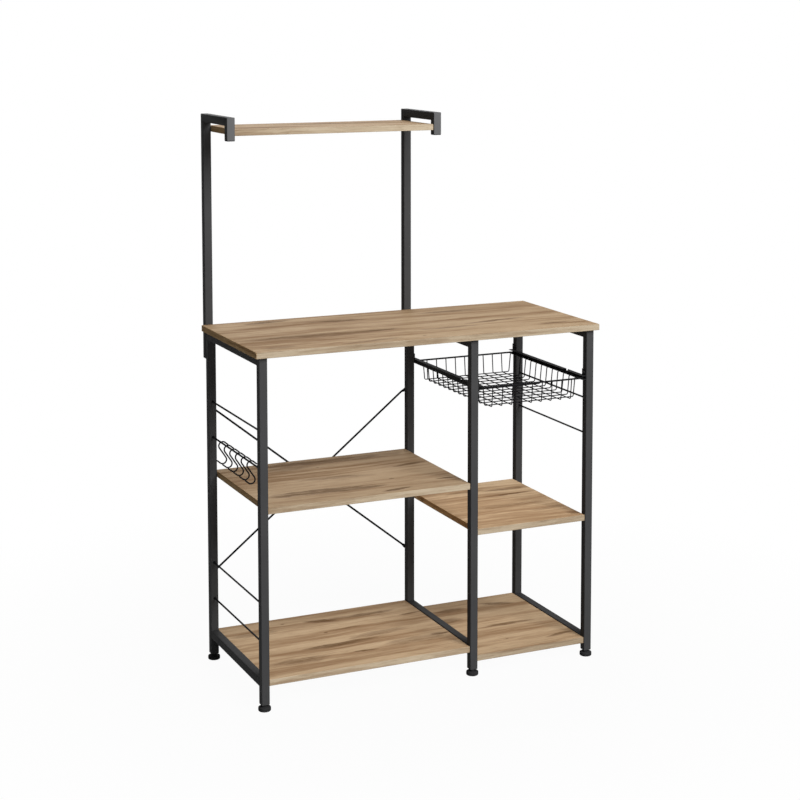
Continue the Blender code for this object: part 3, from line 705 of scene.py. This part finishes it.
front_low, front_high = box_of("basket_front")
back_high = box_of("basket_back")[1]
rim_z = front_high.z - RIM_RADIUS * HEXAGON_FLAT
rim_x = (front_low.x + RIM_RADIUS, front_high.x - RIM_RADIUS)
rim_y = (front_low.y + RIM_RADIUS, back_high.y - RIM_RADIUS)
print("rim", [round(v, 4) for v in (*rim_x, *rim_y, rim_z)])

seam = Vector(((rim_x[0] + rim_x[1]) / 2, rim_y[1], rim_z))
rectangle = ((rim_x[1], rim_y[1]), (rim_x[1], rim_y[0]), (rim_x[0], rim_y[0]), (rim_x[0], rim_y[1]))
corners = [seam, *(Vector((x, y, rim_z)) for x, y in rectangle), seam]
rim = bend_wire(RIM_RADIUS, seam, X_UNIT, moves_along(corners, [RIM_CORNER] * 4), sides=16)
pick(rim, lambda middle, normal: abs(middle.x - seam.x) < SEAM_WITHIN and abs(normal.x) > FACING)
bpy.ops.mesh.delete(type="ONLY_FACE")
tidy_mesh()

# %% [markdown]
# ## The basket's wires
# Nine wires run from front to back and, on top of them, thirteen from side to side. The side wires first
# run in past the channel's flange, so that the rim can slide in the channel. We bend one wire of each
# kind and copy it. At each crossing the two wires are sunk into each other a little, as by a spot weld.

# %% Bend the wires and join the basket
WIRE_RADIUS = 0.0013
WELD_DEPTH = 0.0004
BASKET_DEPTH = 0.050
SHOULDER = 0.0170
TAPER_X, TAPER_Y = 0.0045, 0.0050
FLOOR_BEND, SHOULDER_BEND = 0.004, 0.003
CROSS_PITCH, LONG_PITCH = 0.0286, 0.0274
CROSS_COUNT, LONG_COUNT = 13, 9

long_z = rim_z - BASKET_DEPTH
floor_z = long_z + 2 * WIRE_RADIUS - WELD_DEPTH
first_y = (rim_y[0] + rim_y[1]) / 2 - CROSS_PITCH * (CROSS_COUNT - 1) / 2
first_x = (rim_x[0] + rim_x[1]) / 2 - LONG_PITCH * (LONG_COUNT - 1) / 2

shoulder_x = rim_x[0] + SHOULDER
path = ((rim_x[0], rim_z), (shoulder_x, rim_z), (shoulder_x + TAPER_X, floor_z))
corners = [Vector((x, first_y, z)) for x, z in path]
corners += [Vector((rim_x[0] + rim_x[1] - c.x, c.y, c.z)) for c in reversed(corners)]
bends = [SHOULDER_BEND, FLOOR_BEND, FLOOR_BEND, SHOULDER_BEND]
cross_wire = bend_wire(WIRE_RADIUS, corners[0], X_UNIT, moves_along(corners, bends))
tidy_mesh()

corners = [Vector((first_x, rim_y[0], rim_z)), Vector((first_x, rim_y[0] + TAPER_Y, long_z))]
corners += [Vector((c.x, rim_y[0] + rim_y[1] - c.y, c.z)) for c in reversed(corners)]
moves = moves_along(corners, [FLOOR_BEND, FLOOR_BEND])
long_wire = bend_wire(WIRE_RADIUS, corners[0], corners[1] - corners[0], moves)
tidy_mesh()

wires = [copy_of(cross_wire, (0, i * CROSS_PITCH, 0)) for i in range(1, CROSS_COUNT)]
wires += [copy_of(long_wire, (i * LONG_PITCH, 0, 0)) for i in range(1, LONG_COUNT)]
basket = join([rim, cross_wire, long_wire, *wires])
finished(basket, "wire_basket", "basket", "black_wire", wire_coat, "basket_front", "basket_back",
         "basket_side_left", "basket_side_right", "basket_floor", smooth=50)
print("basket:", len(wires) + 2, "wires,", len(basket.data.polygons), "faces")

# %% [markdown]
# ## The S-hooks
# Each hook is one wire with two loops that turn opposite ways. The straight middle touches both loops, so
# it leans, and each tail leaves its loop outwards. The tips are ground round, so the wire starts and ends
# in a dome. All six are the same, each on its own body, and one is bent and copied.

# %% Bend the hooks
HOOK_WIRE = 0.0018
HOOK_LOOP = 0.0098
HOOK_LOOP_CENTRE = 0.0176
HOOK_TAIL = 0.0115
HOOK_TAIL_ANGLE = math.radians(50)
HOOK_COUNT = 6

lean = math.asin(HOOK_LOOP / HOOK_LOOP_CENTRE)
loop_angle = math.pi + lean - HOOK_TAIL_ANGLE
middle_run = 2 * math.sqrt(HOOK_LOOP_CENTRE ** 2 - HOOK_LOOP ** 2)
hook_middle = middle_of("s_hook_1")
tail_heading = Vector((-math.sin(HOOK_TAIL_ANGLE), 0, math.cos(HOOK_TAIL_ANGLE)))
loop_end = Vector((math.cos(HOOK_TAIL_ANGLE), 0, math.sin(HOOK_TAIL_ANGLE))) * HOOK_LOOP
tail_tip = hook_middle + Z_UNIT * HOOK_LOOP_CENTRE + loop_end - tail_heading * HOOK_TAIL
tail = (HOOK_TAIL - HOOK_WIRE,)
moves = [tail, (-Y_UNIT, loop_angle, HOOK_LOOP), (middle_run,), (Y_UNIT, loop_angle, HOOK_LOOP), tail]
hook = bend_wire(HOOK_WIRE, tail_tip, tail_heading, moves, tips=True)
tidy_mesh()
hooks = {"s_hook_1": hook}
for number in range(2, HOOK_COUNT + 1):
    node = f"s_hook_{number}"
    hooks[node] = copy_of(hook, (0, middle_of(node).y - hook_middle.y, 0))
for node, piece in hooks.items():
    finished(piece, node.replace("s_hook", "bent_hook"), node, "black_wire", wire_coat, node, smooth=60)
heights = [v.co.z for v in hook.data.vertices]
print("hook", round((max(heights) - min(heights)) * 1000, 1), "mm high")

# %% [markdown]
# ## The side rods
# Six straight rods run from leg to leg inside the side frames. Each end is welded to the leg all round,
# which leaves a small collar of metal. Wider rings close to each end face make that collar. The helper
# here turns any round piece from a profile, and the screws and feet use it too.

# %% Cut the rods
ROD_SIDES = 20
COLLAR_LENGTH = 0.0022
# Distance along the collar in collar lengths, and its radius in rod radii.
COLLAR = ((0, 1.55), (0.35, 1.3), (1, 1))
ROD_NODES = ("side_rod_left_upper", "hook_rod", "side_rod_left_third", "side_rod_left_lowest",
             "side_rod_right_upper", "side_rod_right_lower")


def turned(place, along, profile, sides):
    """A round piece: a disc, extruded ring by ring. profile holds (distance along the axis, radius)."""
    (at, radius), *rest = profile
    piece = disc(place + along * at, aim(along), radius, sides)
    for distance, wide in rest:
        push(along * (distance - at))
        resize((wide / radius,) * 3, place + along * distance)
        at, radius = distance, wide
    tidy_mesh()
    return piece


for node in ROD_NODES:
    low, high = box_of(node)
    radius = (high.x - low.x) / 2
    length = high.y - low.y
    start = Vector(((low.x + high.x) / 2, low.y, (low.z + high.z) / 2))
    collar = [(COLLAR_LENGTH * part, radius * wider) for part, wider in COLLAR]
    profile = collar + [(length - d, r) for d, r in reversed(collar)]
    rod = turned(start, Y_UNIT, profile, ROD_SIDES)
    finished(rod, "welded_" + node, "stand", "black_wire", wire_coat, node, smooth=60)
print(len(ROD_NODES), "rods")

# %% [markdown]
# ## The crossed braces
# Two long rods cross behind the left bay and keep it square. Their ends are hammered flat in a press and
# rounded, and a screw goes through each flat. The rod itself lies a little behind the flats, and the
# rising brace passes behind the falling one. We make one lying along X, resizing the rings as the press
# would, and then turn it to its slope.

# %% Press the braces
BRACE_SIDES = 20
BRACE_ACROSS = 0.0050
FLAT_THICK, FLAT_WIDE = 0.0020, 0.0095
FLAT_BACK, FALLING_BACK, RISING_BACK = 0.0013, 0.0028, 0.0081
FLAT_END, NECK_LENGTH = 0.0105, 0.010
NECK_PARTS = (0.15, 0.35, 0.6, 0.82, 1.0)
# Places along the rounded nose, and the flat's width there.
NOSE = ((-0.0075, 0.0030), (-0.0071, 0.0052), (-0.0060, 0.0074), (-0.0044, 0.0089), (-0.0025, FLAT_WIDE))
HIGH_END, LOW_END = 0.643, 0.212


def brace(name, node, start_z, end_z, rod_back):
    """A brace from the left leg to the middle one. A station is its place, back, width and thickness."""
    leg_back = box_of("worktop")[1].y
    left = Vector((middle_of("leg_rear_left").x, leg_back, start_z))
    right = Vector((middle_of("leg_rear_middle").x, leg_back, end_z))
    flat = Vector((FLAT_BACK, FLAT_WIDE, FLAT_THICK))
    round_rod = Vector((rod_back, BRACE_ACROSS, BRACE_ACROSS))
    stations = [(x, FLAT_BACK, wide, FLAT_THICK) for x, wide in NOSE] + [(FLAT_END, *flat)]
    for part in NECK_PARTS:
        ease = part * part * (3 - 2 * part)
        stations.append((FLAT_END + NECK_LENGTH * part, *(flat + (round_rod - flat) * ease)))
    stations += [((right - left).length - x, *section) for x, *section in reversed(stations)]
    x, y, wide, thick = stations[0]
    piece = disc((x, y, 0), (0, math.radians(90), 0), 0.5, BRACE_SIDES)
    resize((1, thick, wide), (x, y, 0))
    for next_x, next_y, next_wide, next_thick in stations[1:]:
        push((next_x - x, next_y - y, 0))
        resize((1, next_thick / thick, next_wide / wide), (next_x, next_y, 0))
        x, y, wide, thick = next_x, next_y, next_wide, next_thick
    tidy_mesh()
    piece.rotation_euler = (0, math.atan2(left.z - right.z, right.x - left.x), 0)
    piece.location = left
    finished(piece, name, "stand", "black_wire", wire_coat, node, smooth=60)
    print(name, round((right - left).length * 1000), "mm from screw to screw")


brace("pressed_brace_falling", "brace_falling", HIGH_END, LOW_END, FALLING_BACK)
brace("pressed_brace_rising", "brace_rising", LOW_END, HIGH_END, RISING_BACK)

# %% [markdown]
# ## A recess for the driver
# The braces and channels are held by small pan head screws with a cross recess, and the hutch brackets by
# thicker bolts with a hexagon socket. The recess is cut with a Boolean modifier: a cross made from two
# crossing blades, whose points taper, or a hexagonal peg, is subtracted.

# %% Grind the cutters
BLADE_THICKNESS = 0.24
BLADE_TAPER = 0.45


def cutter(place, along, kind, size, depth):
    """A cross or a hexagonal peg that reaches depth into a head whose top is at place."""
    if kind == "hexagon":
        deselect()
        bpy.ops.mesh.primitive_cylinder_add(vertices=6, radius=size / 2, depth=2 * depth,
                                            location=place, rotation=aim(along))
        return bpy.context.object
    blades = []
    for spin in (0, math.radians(90)):
        deselect()
        bpy.ops.mesh.primitive_cube_add(size=1, location=(0, 0, 0), rotation=(0, 0, spin))
        blade = bpy.context.object
        blade.scale = (size, size * BLADE_THICKNESS, 2 * depth)
        settle()
        edit(blade)
        pick(blade, lambda middle, normal: normal.z < -FACING)
        resize((BLADE_TAPER, BLADE_TAPER, 1), (0, 0, -depth))
        bpy.ops.object.mode_set(mode="OBJECT")
        blades.append(blade)
    cross, other = blades
    boolean(cross, "UNION", other)
    cross.rotation_euler = aim(along)
    cross.location = place
    return cross


# %% [markdown]
# ## Screws and bolts
# A screw is a stack of rings: its point, a thread that goes in and out, and the domed head. Each fills
# the place of its node.

# %% Turn the screws
SCREW_SIDES = 24
BOLT_HEAD = (0.005, 0.003)
PAN_HEAD = (0.004, 0.0024)
SHANK_SHARE, POINT_SHARE, ROOT_SHARE = 0.5, 0.6, 0.84
POINT_LENGTH, THREAD_STEP = 0.001, 0.0004
THREAD_MARGIN, PLAIN_LENGTH = 0.002, 0.0003
# Depth under the head's top in head heights, and radius in head radii.
HEAD_RINGS = ((1, 0.94), (0.9, 1), (0.5, 0.98), (0.22, 0.88), (0.06, 0.68), (0, 0.42))
RECESS_ACROSS = {"cross": 1.15, "hexagon": 1.05}
RECESS_DEPTH = 0.55


def screw(name, node, along, head_radius, head, kind):
    """A screw whose head points along, made to fill its node's place."""
    low, high = box_of(node)
    reach = abs((high - low).dot(along))
    top = (low + high) / 2 + along * reach / 2
    seat = reach - head
    shank = SHANK_SHARE * head_radius
    profile = [(0, shank * POINT_SHARE), (POINT_LENGTH, shank)]
    for i in range(1, int((seat - THREAD_MARGIN) / THREAD_STEP)):
        profile.append((POINT_LENGTH + i * THREAD_STEP, shank * (ROOT_SHARE if i % 2 else 1)))
    profile += [(seat - PLAIN_LENGTH, shank), (seat, shank)]
    profile += [(reach - head * down, head_radius * wide) for down, wide in HEAD_RINGS]
    piece = turned(top - along * reach, along, profile, SCREW_SIDES)
    recess = cutter(top, along, kind, head_radius * RECESS_ACROSS[kind], head * RECESS_DEPTH)
    boolean(piece, "DIFFERENCE", recess)
    finished(piece, name, "stand", "black_screw", screw_coat, node, smooth=35)
    print(name, len(profile), "rings")


for side in ("left", "middle"):
    for level in ("lower", "upper"):
        screw(f"socket_bolt_{side}_{level}", f"hutch_bolt_{side}_{level}", Y_UNIT, *BOLT_HEAD, "hexagon")
        screw(f"cross_screw_{side}_{level}", f"brace_screw_{side}_{level}", Y_UNIT, *PAN_HEAD, "cross")
for row in ("front", "rear"):
    for side, along in (("left", X_UNIT), ("right", -X_UNIT)):
        screw(f"cross_screw_channel_{row}_{side}", f"channel_screw_{row}_{side}", along, *PAN_HEAD, "cross")

# %% [markdown]
# ## The levelling feet
# Each foot is a round plastic pad moulded over a threaded stud. The pad has a rounded rim with shallow
# grip marks, so that fingers can turn it, and a hexagon above it for a spanner. The stud shows when the
# foot is screwed out, so its thread is modelled: rings that go out and in, one for each turn.

# %% Mould the feet
PAD_SIDES, NECK_SIDES, STUD_SIDES = 48, 6, 20
FOOT_RADIUS, FOOT_HEIGHT, FOOT_ROUND = 0.0150, 0.0100, 0.0025
EDGE_STEPS = 4
# Height and radius of the hollow underside, and of the shoulder under the hexagon.
UNDERSIDE = [(0.0008, 0.0090), (0, 0.0095)]
PAD_SHOULDER = [(0.0103, 0.0095), (0.0110, 0.0073)]
GRIP_MARGIN, GRIP_DEPTH = 0.0003, 0.0004
GRIP_TILT, GRIP_BAND = 0.05, 0.002
NECK_RADIUS, NECK_TOP = 0.0065, 0.0157
CHAMFER_HEIGHT, CHAMFER_WIDTH = 0.0005, 0.0008
STUD_RADIUS, STUD_ROOT, STUD_TIP, STUD_TOP = 0.0030, 0.0025, 0.0018, 0.038
STUD_SUNK = 0.001
THREAD_PITCH = 0.001


def pad_edges():
    """Rings up the pad's side: a quarter circle at its lower edge, and one at its upper edge."""
    inner = FOOT_RADIUS - FOOT_ROUND
    turns = [math.radians(90) * i / EDGE_STEPS for i in range(EDGE_STEPS + 1)]
    rings = [(FOOT_ROUND * (1 - math.cos(t)), inner + FOOT_ROUND * math.sin(t)) for t in turns]
    return rings + [(FOOT_HEIGHT - height, radius) for height, radius in reversed(rings)]


def grip_marks(pad, centre):
    """Sink every other face of the pad's upright side."""
    def is_mark(middle, normal):
        upright = abs(normal.z) < GRIP_TILT and abs(middle.z - FOOT_HEIGHT / 2) < GRIP_BAND
        angle = math.atan2(middle.y - centre.y, middle.x - centre.x)
        return upright and round(angle / math.radians(360 / PAD_SIDES) - 0.5) % 2

    edit(pad)
    pick(pad, is_mark)
    bpy.ops.mesh.inset(thickness=GRIP_MARGIN, depth=-GRIP_DEPTH, use_individual=True)
    bpy.ops.object.mode_set(mode="OBJECT")


def foot(name, node):
    low, high = box_of(node)
    centre = Vector(((low.x + high.x) / 2, (low.y + high.y) / 2, 0))
    pad = turned(centre, Z_UNIT, UNDERSIDE + pad_edges() + PAD_SHOULDER, PAD_SIDES)
    grip_marks(pad, centre)
    neck_rings = [(FOOT_HEIGHT, NECK_RADIUS), (NECK_TOP - CHAMFER_HEIGHT, NECK_RADIUS),
                  (NECK_TOP, NECK_RADIUS - CHAMFER_WIDTH)]
    neck = turned(centre, Z_UNIT, neck_rings, NECK_SIDES)
    thread = [(NECK_TOP - STUD_SUNK, STUD_ROOT)]
    for i in range(round((STUD_TOP - STUD_SUNK - NECK_TOP) / THREAD_PITCH)):
        z = NECK_TOP + i * THREAD_PITCH
        thread += [(z + THREAD_PITCH * 0.5, STUD_RADIUS), (z + THREAD_PITCH, STUD_ROOT)]
    thread.append((STUD_TOP, STUD_TIP))
    stud = turned(centre, Z_UNIT, thread, STUD_SIDES)
    finished(join([pad, neck]), name, node, "black_plastic", foot_plastic, node, smooth=30)
    finished(stud, "stud_of_" + node, node, "black_screw", screw_coat, smooth=30)
    print(name, "with", len(thread) // 2 - 1, "turns of thread")


for row in ("front", "rear"):
    for side in ("left", "middle", "right"):
        foot(f"moulded_foot_{row}_{side}", f"foot_{row}_{side}")

# %% [markdown]
# ## Square tube and its end caps
# The two hutch brackets are square tube. We make the tube's section as a square with rounded corners. The
# same section, a little smaller, starts the moulded plastic cap that closes an open end: a thin flange
# with a shallow dish in its face, and a plug that goes up into the tube.

# %% Cut the section and mould a cap
TUBE = 0.020
TUBE_CORNER, CORNER_STEPS = 0.0018, 4
TUBE_WALL = 0.0012
CAP_CLEARANCE = 0.0006
CAP_FLANGE = 0.0016
FLANGE_PARTS = (0.35, 0.6)
PLUG_PLAY, PLUG_LENGTH = 0.0003, 0.008
DISH_RIM, DISH_DEPTH = 0.0008, 0.0004
FLOOR_WITHIN = 0.00001


def tube_section(middle, side=TUBE):
    """A square face with rounded corners, flat on its middle."""
    deselect()
    bpy.ops.mesh.primitive_plane_add(size=side, location=middle)
    piece = bpy.context.object
    settle()
    edit(piece, "VERT")
    bpy.ops.mesh.select_all(action="SELECT")
    bpy.ops.mesh.bevel(offset=TUBE_CORNER, offset_type="OFFSET", segments=CORNER_STEPS, affect="VERTICES")
    bpy.ops.mesh.select_mode(type="FACE")
    bpy.ops.mesh.select_all(action="SELECT")
    return piece


def end_cap(name, place):
    """A cap for the open end of a tube that stands on place."""
    cap = tube_section(place - Z_UNIT * CAP_FLANGE, TUBE - CAP_CLEARANCE)
    for part in FLANGE_PARTS:
        push(Z_UNIT * CAP_FLANGE * part)
    bpy.ops.mesh.inset(thickness=TUBE_WALL + PLUG_PLAY, depth=0)
    push(Z_UNIT * PLUG_LENGTH)
    pick(cap, lambda middle, normal: abs(middle.z - place.z + CAP_FLANGE) < FLOOR_WITHIN)
    bpy.ops.mesh.inset(thickness=DISH_RIM, depth=DISH_DEPTH)
    tidy_mesh()
    finished(cap, name, "stand", "black_plastic", foot_plastic)


# %% [markdown]
# ## The hutch brackets
# Each bracket is one tube, cut at 45 degrees twice and welded into a hook: a post behind the rear leg, an
# arm forward, and a short drop. We push the section up to the first corner, and lean the ring into the
# mitre: half a right angle of turn, then wider by the root of two. The second mitre leans the other way.
# The tube's wall shows at its two open ends, which the caps close.

# %% Weld the brackets
BORE_DEPTH, BORE_TAPER = 0.012, 0.0001
DROP_UNDER_SHELF = 0.012
END_WITHIN = 0.001

for side in ("left", "middle"):
    low, high = box_of("hutch_bracket_" + side)
    x = (low.x + high.x) / 2
    post = Vector((x, high.y - TUBE / 2, low.z + CAP_FLANGE))
    rear_corner = Vector((x, post.y, high.z - TUBE / 2))
    front_corner = Vector((x, low.y + TUBE / 2, rear_corner.z))
    end = Vector((x, front_corner.y, box_of("top_shelf")[0].z - DROP_UNDER_SHELF + CAP_FLANGE))
    bracket = tube_section(post)
    push(rear_corner - post)
    bpy.ops.transform.rotate(value=-math.radians(45), orient_axis="X", center_override=rear_corner)
    resize((1, math.sqrt(2), math.sqrt(2)), rear_corner)
    push(front_corner - rear_corner)
    resize((1, -1, 1), front_corner)
    push(end - front_corner)
    resize((1, 1, 0), end)
    tidy_mesh()
    edit(bracket)
    pick(bracket, lambda middle, normal: abs(normal.z) > FACING and (middle - end).length < END_WITHIN
         or (middle - post).length < END_WITHIN)
    bpy.ops.mesh.inset(thickness=TUBE_WALL, depth=0, use_individual=True)
    bpy.ops.mesh.inset(thickness=BORE_TAPER, depth=-BORE_DEPTH, use_individual=True)
    bpy.ops.object.mode_set(mode="OBJECT")
    finished(bracket, "mitred_bracket_" + side, "stand", "black_steel", bracket_coat_painted_light,
             "hutch_bracket_" + side)
    end_cap("end_cap_post_" + side, post)
    end_cap("end_cap_drop_" + side, end)
    print(side, "arm", round((rear_corner - front_corner).length * 1000), "mm from mitre to mitre")

# %% [markdown]
# ## The floor
# The photograph has a white studio background. Our floor is plain and pale, and it keeps the soft shadow
# of the stand. For rays that come straight from the camera, or by way of gloss or glass, most of its
# shade is replaced by plain white, and all of it further out, so that it melts into the white world.

# %% Lay the floor
FLOOR_SIDE = 40
FLOOR_COLOUR = (0.32, 0.32, 0.32, 1)
WHITE = (1, 1, 1, 1)
WHITE_NEAR, WHITE_FAR = 0.965, 1.0
FADE_FROM, FADE_TO = 0.5, 1.5

deselect()
bpy.ops.mesh.primitive_plane_add(size=FLOOR_SIDE, location=(0, 0, 0))
floor = bpy.context.object
floor.name = "studio_floor"


def seen_directly(net):
    """1 for rays that show the background: from the camera, off gloss, or through glass."""
    kinds = ("Camera", "Glossy", "Transmission")
    return largest(net.node("LightPath", output=tuple(f"Is {kind} Ray" for kind in kinds)))


floor_finish = Finish("studio_floor", Roughness=0.9, Specular_IOR_Level=0.0, Base_Color=FLOOR_COLOUR)
distance = floor_finish.node("VectorMath", {"operation": "LENGTH"}, {0: floor_finish.place()}, 1)
fade = WHITE_NEAR + (WHITE_FAR - WHITE_NEAR) * floor_finish.between(distance, FADE_FROM, FADE_TO)
grey = Socket(floor_finish.tree, floor_finish.shader.outputs[0])
white = floor_finish.node("Emission", {}, {"Color": WHITE, "Strength": 1.0})
mixed = floor_finish.node("MixShader", {}, {0: seen_directly(floor_finish) * fade, 1: grey, 2: white})
floor_finish.tree.links.new(mixed.socket, floor_finish.tree.nodes["Material Output"].inputs[0])
floor.data.materials.append(floor_finish.material)
print("floor", FLOOR_SIDE, "m wide")

# %% [markdown]
# ## Soft light
# In the photograph the fronts of the tubes are clearly lighter than their left sides, which are nearly
# black: the light comes from the front, a little from the right, about 35 degrees up. A big soft box
# there lights all the shelves evenly. A weak one low in front reaches the steel under the boards, and
# another one behind keeps the other sides readable. The white world is seen, but it adds little light.

# %% Hang the lamps
WORLD_FILL = 0.045
LAMP_DISTANCE = 5.5
AIM_HEIGHT = 0.6

world = bpy.data.worlds.new("studio")
bpy.context.scene.world = world
world.use_nodes = True
sky = Net(world.node_tree)
background = sky.tree.nodes["Background"]
strength = WORLD_FILL + seen_directly(sky) * (1 - WORLD_FILL)
sky.tree.links.new(strength.socket, background.inputs["Strength"])
background.inputs["Color"].default_value = WHITE


def soft_box(name, turn, rise, size, power):
    """A square lamp, turn degrees to the right of the front and rise degrees up, aimed at the middle."""
    light = bpy.data.lights.new(name, "AREA")
    light.shape = "SQUARE"
    light.size = size
    light.energy = power
    item = bpy.data.objects.new(name, light)
    turn, rise = math.radians(turn), math.radians(rise)
    away = Vector((math.sin(turn) * math.cos(rise), -math.cos(turn) * math.cos(rise), math.sin(rise)))
    item.location = Z_UNIT * AIM_HEIGHT + away * LAMP_DISTANCE
    item.rotation_euler = aim(away)
    bpy.context.scene.collection.objects.link(item)
    print(name, power, "W at", tuple(round(c, 2) for c in item.location))


soft_box("front_soft_box", 12, 36, 3.2, 425)
soft_box("low_soft_box", -10, 4, 2.5, 60)
soft_box("back_soft_box", 170, 32, 3.2, 95)
bpy.context.scene.view_settings.view_transform = "Standard"
